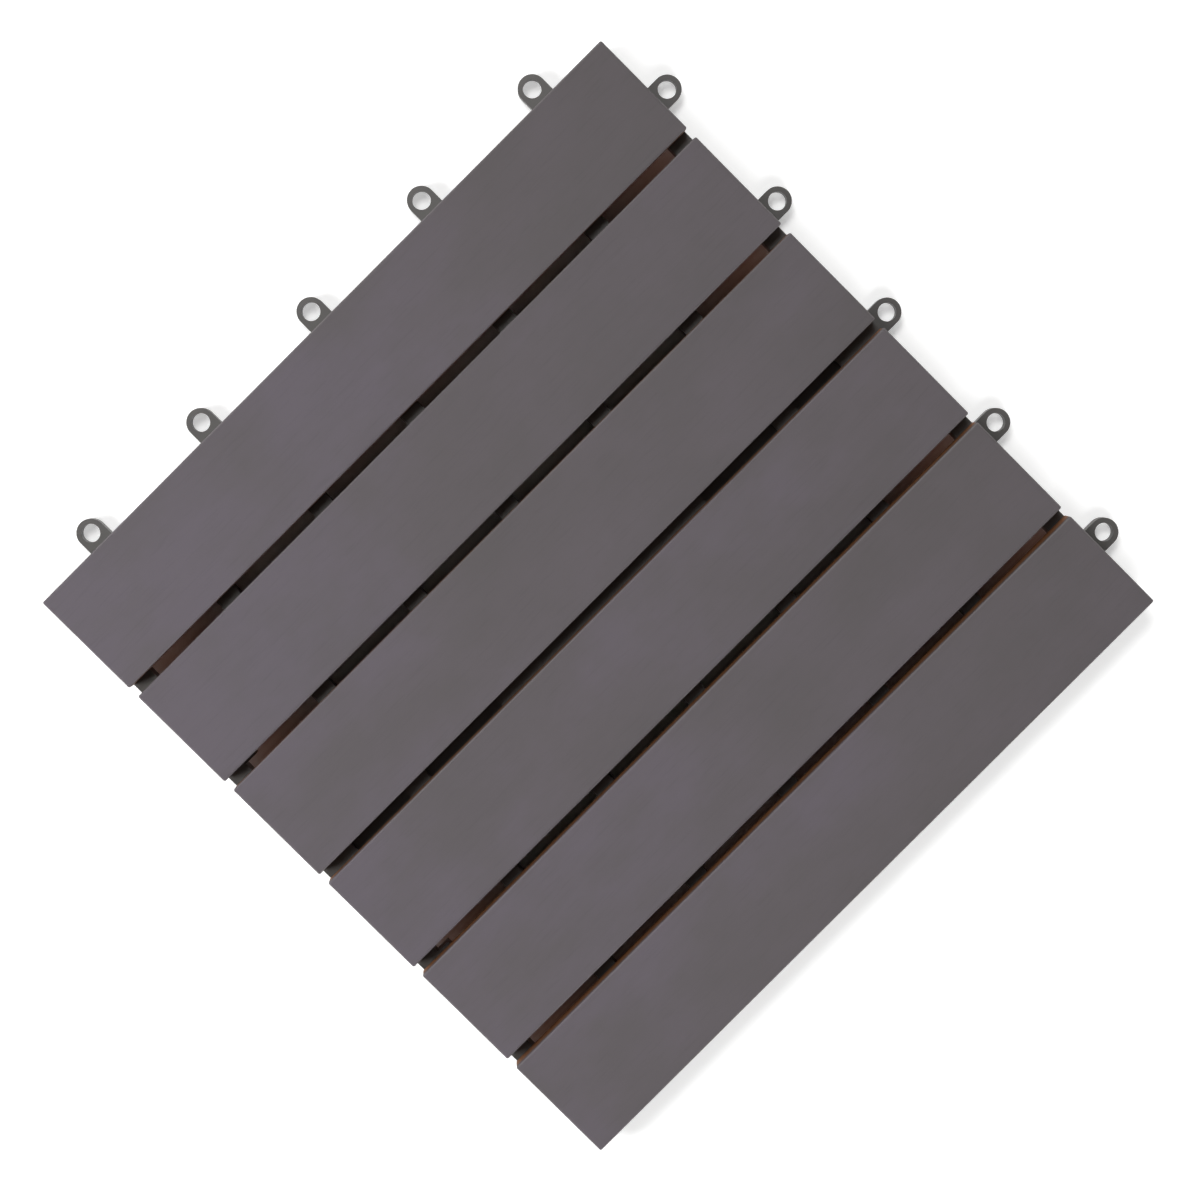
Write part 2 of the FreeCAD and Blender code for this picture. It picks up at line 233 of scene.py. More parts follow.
class NodeSheet:
    """The node tree of one material, with short ways to add the nodes that the finishes share."""

    def __init__(self, name: str) -> None:
        """Start a material with a plain shader.

        Args:
            name: the material's name.
        """
        self.material = bpy.data.materials.new(name)
        self.material.use_nodes = True
        self.tree = self.material.node_tree
        self.shader = self.tree.nodes["Principled BSDF"]
        self.coordinates = self.add("ShaderNodeTexCoord").outputs["Object"]

    def add(self, kind: str, **settings: object) -> bpy.types.Node:
        """Add a node and set its properties.

        Args:
            kind: the node's type name.
            settings: properties of the node and their values.

        Returns:
            The new node.
        """
        node = self.tree.nodes.new(kind)
        for key, setting in settings.items():
            setattr(node, key, setting)
        return node

    def feed(self, socket: Socket, source: Source) -> None:
        """Link a socket to another one, or set its value.

        Args:
            socket: the input socket that is fed.
            source: the output socket that it is linked to, or a number or a colour.
        """
        if isinstance(source, Socket):
            self.tree.links.new(source, socket)
        else:
            socket.default_value = source

    def surface(self, name: str, source: Source) -> None:
        """Feed one of the shader's own sockets."""
        self.feed(self.shader.inputs[name], source)

    def axes(self) -> tuple:
        """Split the object coordinates.

        Returns:
            The sockets of X, Y and Z.
        """
        split = self.add("ShaderNodeSeparateXYZ")
        self.feed(split.inputs["Vector"], self.coordinates)
        return tuple(split.outputs)

    def attribute(self, name: str) -> Socket:
        """The number that the mesh stores under a name."""
        return self.add("ShaderNodeAttribute", attribute_name=name).outputs["Fac"]

    def pattern(self, pattern: Pattern, shift: tuple = (0.0, 0.0, 0.0)) -> Socket:
        """A cloudy value from 0 to 1 in the object coordinates, which are stretched and then moved.

        Args:
            pattern: how it is stretched, how fine it is and how rough.
            shift: how far it is moved along each axis.

        Returns:
            The socket of the value.
        """
        placed = self.add("ShaderNodeMapping")
        self.feed(placed.inputs["Vector"], self.coordinates)
        self.feed(placed.inputs["Location"], shift)
        self.feed(placed.inputs["Scale"], pattern.stretch)
        clouds = self.add("ShaderNodeTexNoise")
        self.feed(clouds.inputs["Vector"], placed.outputs["Vector"])
        self.feed(clouds.inputs["Scale"], pattern.scale)
        self.feed(clouds.inputs["Detail"], pattern.detail)
        self.feed(clouds.inputs["Roughness"], pattern.roughness)
        return clouds.outputs["Fac"]

    def ramp(self, factor: Source, stops: tuple) -> Socket:
        """A colour that follows a factor through some stops.

        Args:
            factor: the socket that is followed.
            stops: pairs of a place from 0 to 1 and its colour.

        Returns:
            The socket of the colour.
        """
        node = self.add("ShaderNodeValToRGB")
        elements = node.color_ramp.elements
        while len(elements) < len(stops):
            elements.new(0.5)
        for element, (place, colour) in zip(elements, stops):
            element.position = place
            element.color = colour
        self.feed(node.inputs["Fac"], factor)
        return node.outputs["Color"]

    def mix(self, factor: Source, first: Source, second: Source, blend: str = "MIX") -> Socket:
        """Mix two colours.

        Args:
            factor: how much of the second is taken.
            first: the first colour or its socket.
            second: the second colour or its socket.
            blend: how they are mixed.

        Returns:
            The socket of the mixed colour.
        """
        node = self.add("ShaderNodeMix", data_type="RGBA", blend_type=blend)
        for name, source in (("Factor_Float", factor), ("A_Color", first), ("B_Color", second)):
            self.feed(next(socket for socket in node.inputs if socket.identifier == name), source)
        return next(socket for socket in node.outputs if socket.identifier == "Result_Color")

    def maths(self, operation: str, first: Source, second: Source = 0.0) -> Socket:
        """Work out one value from one or two others.

        Args:
            operation: the name of the sum, such as MULTIPLY.
            first: a number or a socket.
            second: a number or a socket, where the sum takes two.

        Returns:
            The socket of the result.
        """
        node = self.add("ShaderNodeMath", operation=operation)
        self.feed(node.inputs[0], first)
        self.feed(node.inputs[1], second)
        return node.outputs["Value"]

    def spread(self, value: Source, spread: Spread) -> Socket:
        """Stretch a value from one range to another and hold it at the ends.

        Args:
            value: the socket that is stretched.
            spread: both ranges.

        Returns:
            The socket of the stretched value.
        """
        node = self.add("ShaderNodeMapRange")
        sources = (value, spread.low, spread.high, spread.to_low, spread.to_high)
        for socket, source in zip(node.inputs, sources):
            self.feed(socket, source)
        return node.outputs["Result"]

    def shade(self, colour: Source, value: Source, spread: Spread) -> Socket:
        """Multiply a colour by a value, once that is stretched."""
        return self.mix(1.0, colour, self.spread(value, spread), "MULTIPLY")

    def bump(self, height: Source, relief: Relief, normal: Socket | None = None) -> Socket:
        """Turn a height into a bent normal.

        Args:
            height: the socket of the height, from 0 to 1.
            relief: how strong the bend is, and how high a height of 1 stands.
            normal: the socket of a normal that is bent already.

        Returns:
            The socket of the normal.
        """
        node = self.add("ShaderNodeBump")
        self.feed(node.inputs["Strength"], relief.strength)
        self.feed(node.inputs["Distance"], relief.height)
        self.feed(node.inputs["Height"], height)
        if normal is not None:
            self.feed(node.inputs["Normal"], normal)
        return node.outputs["Normal"]


@dataclass(frozen=True)
class StainedWood:
    """Planed hardwood under a thin matt grey stain, which thins out down the sides to brown wood.

    Painted light: the tone drifts by so much for each metre along X and along Y, which makes the stain
    lighter and more purple towards -X and most towards -Y, as if more light fell there. The stain comes up
    between two heights over the ground, which are uneven by half as much either way as their field says.
    The other spreads say how far a pattern shows: in the figure, in the stain's shade, or in the soaked end
    grain.
    """

    seed: int = 40
    cut_reach: float = 3.0
    stain_olive: tuple = (0.0710, 0.0618, 0.0650, 1.0)
    stain_grey: tuple = (0.0755, 0.0650, 0.0712, 1.0)
    stain_purple: tuple = (0.0830, 0.0705, 0.0840, 1.0)
    stain_stops: tuple = (0.40, 0.50, 0.60)
    tone_base: float = 0.15
    tone_share: float = 0.35
    # Painted light: the stain drifts lighter and more purple towards -X and -Y.
    painted_light_drift: tuple = (-0.12, -0.42)
    stain_rise: Spread = Spread(20.0 * MM, 23.0 * MM)
    stain_uneven: float = 3.0 * MM
    bare_dark: tuple = (0.098, 0.036, 0.013, 1.0)
    bare_light: tuple = (0.240, 0.100, 0.034, 1.0)
    # The arrises' lighter colour: partly worn stain, partly a painted highlight where the eased edges catch
    # the light.
    arris_wear_and_highlight_tone: tuple = (0.170, 0.158, 0.152, 1.0)
    arris_wear_and_highlight: Spread = Spread(0.3, 0.7, 0.12, 0.5)
    fibre: Pattern = Pattern(900.0, 2.0, 0.6, (1.0, 0.028, 1.0))
    streak: Pattern = Pattern(130.0, 3.0, 0.55, (1.0, 0.05, 1.0))
    pores: Pattern = Pattern(1500.0, 1.0, 0.5, (1.0, 0.045, 1.0))
    mottle: Pattern = Pattern(30.0, 4.0, 0.6, (1.0, 0.6, 1.0))
    cloud: Pattern = Pattern(11.0, 2.0, 0.5, (1.0, 0.7, 1.0))
    growth: Pattern = Pattern(13.0, 1.5, 0.4, (1.0, 0.07, 0.7))
    vessels: Pattern = Pattern(1900.0, 2.0, 0.5, (1.0, 0.2, 1.0))
    streak_share: float = 0.5
    ring_share: Spread = Spread(0.35, 0.65, 0.05, 0.4)
    ring_count: float = 34.0
    ring_ragged: float = 0.012
    ring_edge: Spread = Spread(0.0, 0.12)
    ring_fade: Spread = Spread(0.3, 1.0, 1.0, 0.1)
    figure_shade: Spread = Spread(0.2, 0.8, 0.98, 1.015)
    mottle_shade: Spread = Spread(0.35, 0.65, 0.95, 1.045)
    pore_shade: Spread = Spread(0.30, 0.40, 0.95, 1.0)
    ring_soak: Spread = Spread(0.0, 1.0, 0.74, 0.9)
    vessel_soak: Spread = Spread(0.3, 0.6, 0.78, 1.05)
    roughness: Spread = Spread(0.3, 0.7, 0.61, 0.72)
    specular: float = 0.4
    open_pores: Spread = Spread(0.34, 0.42)
    fibre_relief: Relief = Relief(0.2, 0.05 * MM)
    pore_relief: Relief = Relief(0.25, 0.06 * MM)
    cloud_relief: Relief = Relief(0.3, 0.4 * MM)

    def build(self, number: int) -> bpy.types.Material:
        """Make the wood of one slat, each with a cut of its own from the log.

        The figure mixes fibres and streaks, all drawn out along the slat, with growth rings where a slow
        cloud lets them show. On top the stain covers it almost wholly, and a lighter colour on the arrises
        stands partly for wear and partly for a painted highlight where the eased edges catch the light.

        Args:
            number: which slat it is, from 1.

        Returns:
            The material.
        """
        sheet = NodeSheet("stained_wood_%d" % number)
        chance = np.random.default_rng(self.seed + number)
        shift = tuple(chance.uniform(-self.cut_reach, self.cut_reach, 3))
        fibre, streak, pores, mottle, cloud = (
            sheet.pattern(kind, shift)
            for kind in (self.fibre, self.streak, self.pores, self.mottle, self.cloud)
        )
        rings = self.rings(sheet, shift, streak)
        ring_share = sheet.spread(cloud, self.ring_share)
        figure = sheet.mix(ring_share, sheet.mix(self.streak_share, fibre, streak), rings)
        bare = sheet.mix(figure, self.bare_dark, self.bare_light)
        stain = self.stain(sheet, mottle, cloud, figure, pores)
        colour = sheet.mix(self.cover(sheet, mottle), bare, stain)
        sawn = self.end_grain(sheet, colour, rings, shift)
        colour = sheet.mix(sheet.attribute("end"), colour, sawn)
        # Lighter arrises: partly worn stain, partly a painted highlight on the eased edges.
        wear_and_highlight = sheet.maths("MULTIPLY", sheet.attribute("arris"), sheet.spread(streak, self.arris_wear_and_highlight))
        sheet.surface("Base Color", sheet.mix(wear_and_highlight, colour, self.arris_wear_and_highlight_tone))
        sheet.surface("Roughness", sheet.spread(mottle, self.roughness))
        sheet.surface("Specular IOR Level", self.specular)
        normal = sheet.bump(fibre, self.fibre_relief)
        normal = sheet.bump(sheet.spread(pores, self.open_pores), self.pore_relief, normal)
        sheet.surface("Normal", sheet.bump(cloud, self.cloud_relief, normal))
        return sheet.material

    def rings(self, sheet: NodeSheet, shift: tuple, streak: Socket) -> Socket:
        """Growth rings: the contour lines of a slow noise that is drawn out along the slat.

        A ring's value is the part after the point of the noise times the number of rings. It rises
        steeply at the ring's edge and then fades. Streaks make the edges ragged.

        Args:
            sheet: the node sheet.
            shift: how far the noise is moved.
            streak: the socket of the streaks.

        Returns:
            The socket of the rings' value, 0 at each ring's edge and 1 beside it.
        """
        ragged = sheet.maths("MULTIPLY", streak, self.ring_ragged)
        field = sheet.maths("ADD", sheet.pattern(self.growth, shift), ragged)
        part = sheet.maths("FRACT", sheet.maths("MULTIPLY", field, self.ring_count))
        edge, fade = sheet.spread(part, self.ring_edge), sheet.spread(part, self.ring_fade)
        return sheet.maths("MULTIPLY", edge, fade)

    def stain(
        self, sheet: NodeSheet, mottle: Socket, cloud: Socket, figure: Socket, pores: Socket
    ) -> Socket:
        """The stain's colour: olive to purple greys in clouds, with the grain showing faintly through, and
        a painted light gradient that turns it lighter and more purple towards -X and -Y.

        Args:
            sheet: the node sheet.
            mottle: the socket of the small clouds.
            cloud: the socket of the wide clouds.
            figure: the socket of the wood's figure.
            pores: the socket of the pores.

        Returns:
            The socket of the colour.
        """
        across, along = sheet.axes()[:2]
        # Painted light gradient across the tile: lighter and more purple towards -X and most towards -Y.
        painted_light_across = sheet.maths("MULTIPLY", across, self.painted_light_drift[0])
        painted_light_along = sheet.maths("MULTIPLY", along, self.painted_light_drift[1])
        drift = sheet.maths("ADD", painted_light_across, painted_light_along)
        clouds = sheet.maths("MULTIPLY", sheet.maths("ADD", mottle, cloud), self.tone_share)
        tone = sheet.maths("ADD", sheet.maths("ADD", clouds, self.tone_base), drift)
        tones = (self.stain_olive, self.stain_grey, self.stain_purple)
        colour = sheet.ramp(tone, tuple(zip(self.stain_stops, tones)))
        colour = sheet.shade(colour, figure, self.figure_shade)
        colour = sheet.shade(colour, mottle, self.mottle_shade)
        return sheet.shade(colour, pores, self.pore_shade)

    def end_grain(self, sheet: NodeSheet, colour: Socket, rings: Socket, shift: tuple) -> Socket:
        """The sawn ends, darker because they drink more stain, with rings and open pores showing."""
        soaked = sheet.shade(colour, rings, self.ring_soak)
        return sheet.shade(soaked, sheet.pattern(self.vessels, shift), self.vessel_soak)

    def cover(self, sheet: NodeSheet, mottle: Socket) -> Socket:
        """How well the stain covers: wholly on top and outside, fading out down into the gaps.

        Args:
            sheet: the node sheet.
            mottle: the socket of the small clouds, which make the fading uneven.

        Returns:
            The socket of the cover, from 0 to 1.
        """
        uneven = sheet.maths("MULTIPLY", sheet.maths("SUBTRACT", mottle, 0.5), self.stain_uneven)
        height = sheet.maths("ADD", sheet.axes()[2], uneven)
        return sheet.maths("MAXIMUM", sheet.spread(height, self.stain_rise), sheet.attribute("outside"))


@dataclass(frozen=True)
class MouldedPlastic:
    """Dark grey polypropylene, faintly warm, with the fine grain of its mould."""

    tone: tuple = (0.060, 0.056, 0.053, 1.0)
    flow_tone: tuple = (0.076, 0.071, 0.067, 1.0)
    flow: Pattern = Pattern(28.0, 3.0, 0.5)
    grain: Pattern = Pattern(2600.0, 2.0, 0.6)
    roughness: Spread = Spread(0.3, 0.7, 0.37, 0.48)
    grain_relief: Relief = Relief(0.35, 0.04 * MM)

    def build(self) -> bpy.types.Material:
        """Make the base's plastic: slow flow clouds in its colour and a fine sand grain in its surface.

        Returns:
            The material.
        """
        sheet = NodeSheet("moulded_base")
        flow = sheet.pattern(self.flow)
        sheet.surface("Base Color", sheet.mix(flow, self.tone, self.flow_tone))
        sheet.surface("Roughness", sheet.spread(flow, self.roughness))
        sheet.surface("Normal", sheet.bump(sheet.pattern(self.grain), self.grain_relief))
        return sheet.material


@dataclass(frozen=True)
class PlatedSteel:
    """Zinc-plated screw steel, a little dull and clouded."""

    tone: tuple = (0.56, 0.56, 0.54, 1.0)
    dull_tone: tuple = (0.38, 0.38, 0.365, 1.0)
    cloud: Pattern = Pattern(1400.0, 3.0, 0.55)
    roughness: Spread = Spread(0.3, 0.7, 0.28, 0.44)
    cloud_relief: Relief = Relief(0.15, 0.02 * MM)

    def build(self) -> bpy.types.Material:
        """Make the screws' plated steel, its dull clouds a few tenths of a millimetre wide.

        Returns:
            The material.
        """
        sheet = NodeSheet("screw_steel")
        cloud = sheet.pattern(self.cloud)
        sheet.surface("Base Color", sheet.mix(cloud, self.tone, self.dull_tone))
        sheet.surface("Metallic", 1.0)
        sheet.surface("Roughness", sheet.spread(cloud, self.roughness))
        sheet.surface("Normal", sheet.bump(cloud, self.cloud_relief))
        return sheet.material


@dataclass(frozen=True)
class FloorPaint:
    """The plain pale floor, which is lit a little from within, but not under the tile.

    Under the tile's edges it has a faint warm light, which stands for what leaks in below the rim and
    turns brown between the slats' bare sides.
    """

    tone: tuple = (0.88, 0.88, 0.875, 1.0)
    roughness: float = 0.85
    specular: float = 0.2
    glow: float = 0.36
    glow_tint: tuple = (1.0, 1.0, 1.0, 1.0)
    unlit_half: float = 149.0 * MM
    leak: float = 0.031
    leak_tint: tuple = (1.0, 0.41, 0.24, 1.0)
    leak_from: float = 90.0 * MM
    leak_to: float = 135.0 * MM

    def build(self) -> bpy.types.Material:
        """Make the floor's even matt paint with its two lights.

        How far out a point lies is the greater of its X and Y, without their signs. The faint light
        grows with the square of the way from where it starts to where it is full, and the even glow
        takes over outside the tile.

        Returns:
            The material.
        """
        sheet = NodeSheet("pale_floor")
        sheet.surface("Base Color", self.tone)
        sheet.surface("Roughness", self.roughness)
        sheet.surface("Specular IOR Level", self.specular)
        across, along = (sheet.maths("ABSOLUTE", axis) for axis in sheet.axes()[:2])
        away = sheet.maths("MAXIMUM", across, along)
        outside = sheet.maths("GREATER_THAN", away, self.unlit_half)
        leaked = sheet.spread(away, Spread(self.leak_from, self.leak_to, 0.0, math.sqrt(self.leak)))
        leaked = sheet.maths("MULTIPLY", leaked, leaked)
        strength = sheet.maths("MAXIMUM", leaked, sheet.maths("MULTIPLY", outside, self.glow))
        sheet.surface("Emission Strength", strength)
        sheet.surface("Emission Color", sheet.mix(outside, self.leak_tint, self.glow_tint))
        return sheet.material


@dataclass
class Slats:
    """The deck's slats: boards with rounded top arrises and nearly square lower ones.

    An arris is eased by up to the drift's share of its radius, and the faces are waved by up to the wave's
    height. The pitches are the lengths of both kinds of sine waves. A lower arris has its own share of the
    lighter colour that an upper one has, which stands partly for wear and partly for a painted highlight.
    """

    count: int = 6
    top_round: float = 0.8 * MM
    under_round: float = 0.6 * MM
    margin: float = 0.3 * MM
    step: float = 2.6 * MM
    bends: int = 5
    merge_digits: int = 9
    drift_share: float = 0.14
    drift_pitches: tuple = (190.0 * MM, 83.0 * MM, 31.0 * MM)
    drift_seed: int = 70
    wave_height: float = 0.05 * MM
    wave_pitches_along: tuple = (117.0 * MM, 52.0 * MM)
    wave_pitches_across: tuple = (61.0 * MM, 34.0 * MM)
    wave_seed: int = 90
    # The lower arrises' share of the lighter colour, which is partly wear and partly painted highlight.
    under_wear_and_highlight: float = 0.3
    end_power: int = 4

    def build(self) -> None:
        """Make every slat where the model has it, and dress it in its own cut of wood."""
        for number in range(1, self.count + 1):
            name = "slat_%d" % number
            low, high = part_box(name)
            piece = self.board(number, np.array(low), np.array(high))
            dress(piece, StainedWood().build(number), name)

    def stations(self, half: float, round_low: float, round_high: float) -> np.ndarray:
        """Places across a side of the box, so spaced that each rounded edge turns in equal steps.

        Within a rounded edge they lie at the edge's start plus the radius times the tangent of an even
        angle from 0 to 45 degrees. Between the edges they are even, apart from a narrow margin beside
        each edge that keeps the flat face flat in its shading.

        Args:
            half: half of the side's width.
            round_low: the radius of the edge at the low end.
            round_high: the radius of the edge at the high end.

        Returns:
            The places, from -half to half.
        """
        turn = np.tan(np.linspace(0.0, math.pi / 4, self.bends + 1))
        low, high = -half + round_low, half - round_high
        steps = max(2, math.ceil((high - low) / self.step))
        inner = np.linspace(low + self.margin, high - self.margin, steps + 1)
        middle = np.concatenate([[low], inner, [high]])
        return np.concatenate([low - round_low * turn[:0:-1], middle, high + round_high * turn[1:]])

    def box_grid(self, half: np.ndarray) -> tuple[np.ndarray, np.ndarray]:
        """The points and faces of a box, each side a grid and the sides' shared points merged.

        Args:
            half: half of the box's size along each axis.

        Returns:
            The points about the box's middle, and the faces, all facing out.
        """
        lower_rounds = (self.top_round, self.top_round, self.under_round)
        places = [self.stations(size, low, self.top_round) for size, low in zip(half, lower_rounds)]
        points, quads = [], []
        for axis, way in (side.value for side in Side):
            first, second = (axis + 1) % 3, (axis + 2) % 3
            along, across = np.meshgrid(places[second], places[first], indexing="ij")
            side = np.zeros(along.shape + (3,))
            side[..., axis] = way * half[axis]
            side[..., first] = across
            side[..., second] = along
            faces = grid_quads(*along.shape, start=sum(len(part) for part in points))
            points.append(side.reshape(-1, 3))
            quads.append(faces if way > 0 else faces[:, ::-1])
        rounded = np.round(np.concatenate(points), self.merge_digits)
        merged, numbers = np.unique(rounded, axis=0, return_inverse=True)
        return merged, numbers.ravel()[np.concatenate(quads)]

    def board(self, number: int, low: np.ndarray, high: np.ndarray) -> bpy.types.Object:
        """One slat: a box grid with its edges rolled round.

        A point is drawn back to the box that lies one radius further in, then pushed out again by the
        radius along the line that joins them, so flat sides stay flat and edges become quarter circles.
        The radius grows from that of the lower arrises to that of the upper ones, and drifts a little
        along the slat. Long shallow waves then press the faces in by a few hundredths of a millimetre.

        Args:
            number: which slat it is, from 1.
            low: its lowest corner.
            high: its highest corner.

        Returns:
            The slat, with an attribute arris that is 1 in the middle of its rounded upper edges, an
            attribute outside that is 1 on the sides that face out of the tile, and an attribute end that
            is 1 on its two sawn ends.
        """
        middle, half = (low + high) / 2, (high - low) / 2
        flat, quads = self.box_grid(half)
        rise = np.clip((flat[:, 2] + half[2] - self.under_round) / (2 * half[2] - self.top_round), 0.0, 1.0)
        radius = self.under_round + (self.top_round - self.under_round) * rise * rise * (3 - 2 * rise)
        radius = radius[:, None]
        core = np.clip(flat, radius - half, half - radius)
        out = flat - core
        facing = out / np.linalg.norm(out, axis=1, keepdims=True)
        eased = self.drift(number, flat[:, 1])[:, None]
        arris = 2 * np.abs(facing[:, :2]).max(axis=1) * np.abs(facing[:, 2])
        points = core + facing * radius * (1 - eased * arris[:, None])
        points -= facing * self.waves(number, points)[:, None]
        piece = new_piece("board_%d" % number, points + middle, quads)
        # The arris mask carries the lighter colour of wear and of a painted highlight.
        add_attribute(piece, "arris", np.where(facing[:, 2] > 0, arris, self.under_wear_and_highlight * arris) ** 2)
        faces_out = np.where(facing[:, 0] < 0, number == 1, number == self.count)
        add_attribute(piece, "outside", np.hypot(facing[:, 0] * faces_out, facing[:, 1]))
        add_attribute(piece, "end", facing[:, 1] ** self.end_power)
        return piece

    def drift(self, number: int, along: np.ndarray) -> np.ndarray:
        """How much an arris is eased past its radius along the slat: the mean of three sine waves.

        Args:
            number: which slat it is, from 1.
            along: the points' places along the slat.

        Returns:
            The share of the radius for each point.
        """
        phases = np.random.default_rng(self.drift_seed + number).uniform(0, math.tau, 3)
        waves = np.sin(math.tau * along[:, None] / np.array(self.drift_pitches) + phases)
        return self.drift_share * (0.5 + 0.5 * waves.mean(axis=1))

    def waves(self, number: int, points: np.ndarray) -> np.ndarray:
        """How far the planed faces lie in: the sum of two sine waves along the slat and two across it.

        Args:
            number: which slat it is, from 1.
            points: the slat's points about its middle.

        Returns:
            The depth for each point, from 0 to the wave's height.
        """
        phases = np.random.default_rng(self.wave_seed + number).uniform(0, math.tau, 4)
        along = np.sin(math.tau * points[:, 1, None] / np.array(self.wave_pitches_along) + phases[:2])
        across = np.sin(math.tau * points[:, 0, None] / np.array(self.wave_pitches_across) + phases[2:])
        return self.wave_height * (0.5 + (along + across).sum(axis=1) / 8)


@dataclass
class BaseMoulding:
    """The moulded base: the model's own form with its edges softened as a mould leaves them."""

    edge_round: float = 0.3 * MM
    edge_bends: int = 2
    sharp_angle: float = math.radians(28)
    flat_angle: float = math.radians(0.5)
    merge_reach: float = 0.002 * MM
    face_weight: int = 60

    def build(self) -> None:
        """Make the base and dress it in its plastic."""
        dress(self.softened(), MouldedPlastic().build(), "base_grid")

    def softened(self) -> bpy.types.Object:
        """Copy the model's base, merge its loose faces, join up the flat ones and round its sharp edges.

        Returns:
            The copy, with no material.
        """
        mesh = bpy.data.objects["base_grid"].data.copy()
        mesh.name = "base_moulding"
        work = bmesh.new()
        work.from_mesh(mesh)
        bmesh.ops.remove_doubles(work, verts=work.verts, dist=self.merge_reach)
        bmesh.ops.dissolve_limit(work, angle_limit=self.flat_angle, verts=work.verts, edges=work.edges)
        work.to_mesh(mesh)
        work.free()
        mesh.materials.clear()
        piece = smooth_object("base_moulding", mesh)
        bevel = piece.modifiers.new("soft_edges", "BEVEL")
        bevel.width = self.edge_round
        bevel.segments = self.edge_bends
        bevel.limit_method = "ANGLE"
        bevel.angle_limit = self.sharp_angle
        flatten = piece.modifiers.new("flat_faces", "WEIGHTED_NORMAL")
        flatten.mode = "FACE_AREA"
        flatten.weight = self.face_weight
        return piece


@dataclass
class Screws:
    """The screws that hold the slats from below: domed heads with a cross recess, and threaded stems.

    The model's plain heads have a radius of their own, so the outermost screws' axes lie that far inside
    the box of its screws.
    """

    columns: int = 6
    rows: int = 3
    plain_head: float = 2.9 * MM
    head_rise: float = 2.2 * MM
    head_radius: float = 2.85 * MM
    head_square: float = 2.7
    head_around: int = 64
    head_rings: int = 30
    pole_angle: float = 0.002
    arm_half: float = 0.42 * MM
    arm_reach: float = 1.75 * MM
    recess_depth: float = 1.25 * MM
    recess_slope: float = 0.16 * MM
    recess_taper: float = 0.35
    stem_radius: float = 1.34 * MM
    root_radius: float = 1.0 * MM
    stem_around: int = 16
    stem_rings: int = 60
    thread_pitch: float = 1.5 * MM
    thread_steepness: float = 3.2
    tip_length: float = 2.5 * MM
    tip_least: float = 0.02
    tip_power: float = 0.7

    def build(self) -> None:
        """Make all the screws as one piece, as the model has them, and dress it in its steel."""
        low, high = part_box("slat_screws")
        seat = low[2] + self.head_rise
        parts = (self.head(seat), self.stem(seat, high[2]))
        reach = [(far - near) / 2 - self.plain_head for near, far in zip(low[:2], high[:2])]
        points, quads = [], []
        for y in np.linspace(-reach[1], reach[1], self.rows):
            for x in np.linspace(-reach[0], reach[0], self.columns):
                for part in parts:
                    start = sum(len(done) for done in points)
                    points.append(part.reshape(-1, 3) + np.array([x, y, 0.0]))
                    quads.append(closed_tube(part, start))
        piece = new_piece("deck_screws", np.concatenate(points), np.concatenate(quads))
        dress(piece, PlatedSteel().build(), "slat_screws")

    def head(self, seat: float) -> np.ndarray:
        """A screw's head about the upright axis.

        Down the dome, the radius and the rise follow a squarish oval: the radius is the sine of an even
        angle, and the rise its cosine, each to the power of 2 over the oval's number. The cross recess
        sinks the dome wherever a point lies within the half width of an arm and within the arms' reach.

        Args:
            seat: the height of the head's flat side.

        Returns:
            A grid of points, each row a ring about the axis.
        """
        turn = np.linspace(0.0, math.tau, self.head_around, endpoint=False)
        rim = np.linspace(math.pi / 2, self.pole_angle, self.head_rings)
        power = 2 / self.head_square
        radius = np.concatenate([[self.root_radius], self.head_radius * np.sin(rim) ** power])
        rise = np.concatenate([[0.0], self.head_rise * np.cos(rim) ** power])
        x, y = radius[:, None] * np.cos(turn), radius[:, None] * np.sin(turn)
        z = seat - np.broadcast_to(rise[:, None], x.shape) + self.recess(x, y)
        return np.stack([x, y, np.minimum(z, seat)], axis=-1)[::-1]

    def recess(self, x: np.ndarray, y: np.ndarray) -> np.ndarray:
        """How deep the cross recess is at each point.

        An arm's share rises from 0 to 1 over the slope's width inwards from its side, and so from its
        end. The depth is the greater share of the two arms, times one less the taper on the way out.

        Args:
            x: the points' places across.
            y: the points' places along.

        Returns:
            The depth for each point.
        """
        first = self.inside(self.arm_half, x) * self.inside(self.arm_reach, y)
        second = self.inside(self.arm_half, y) * self.inside(self.arm_reach, x)
        taper = 1 - self.recess_taper * np.hypot(x, y) / self.arm_reach
        return self.recess_depth * np.maximum(first, second) * np.clip(taper, 0.0, 1.0)

    def inside(self, edge: float, place: np.ndarray) -> np.ndarray:
        """How far a place is inside an edge of the recess: 0 at the edge, and 1 past its slope."""
        return np.clip((edge - np.abs(place)) / self.recess_slope, 0.0, 1.0)

    def stem(self, seat: float, tip: float) -> np.ndarray:
        """A screw's stem about the upright axis.

        Its radius swings between the root's and the crest's with the thread's phase, which is the height
        over the pitch less the turn over a full circle. It narrows to the tip over the last stretch.

        Args:
            seat: the height where it leaves the head.
            tip: the height of its tip.

        Returns:
            A grid of points, each row a ring about the axis, the last a small one at the tip.
        """
        turn = np.linspace(0.0, math.tau, self.stem_around, endpoint=False)
        height = np.linspace(seat, tip, self.stem_rings)[:, None]
        phase = (height - seat) / self.thread_pitch - turn / math.tau
        crest = np.clip(1 - self.thread_steepness * np.abs(phase % 1.0 - 0.5), 0.0, 1.0)
        radius = self.root_radius + (self.stem_radius - self.root_radius) * crest
        radius = radius * np.clip((tip - height) / self.tip_length, self.tip_least, 1.0) ** self.tip_power
        x, y = radius * np.cos(turn), radius * np.sin(turn)
        return np.stack([x, y, np.broadcast_to(height, x.shape)], axis=-1)


@dataclass(frozen=True)
class Lamp:
    """A square soft light: its name, where it stands, the length of its side and its power in watts."""

    name: str
    place: tuple
    side: float
    power: float


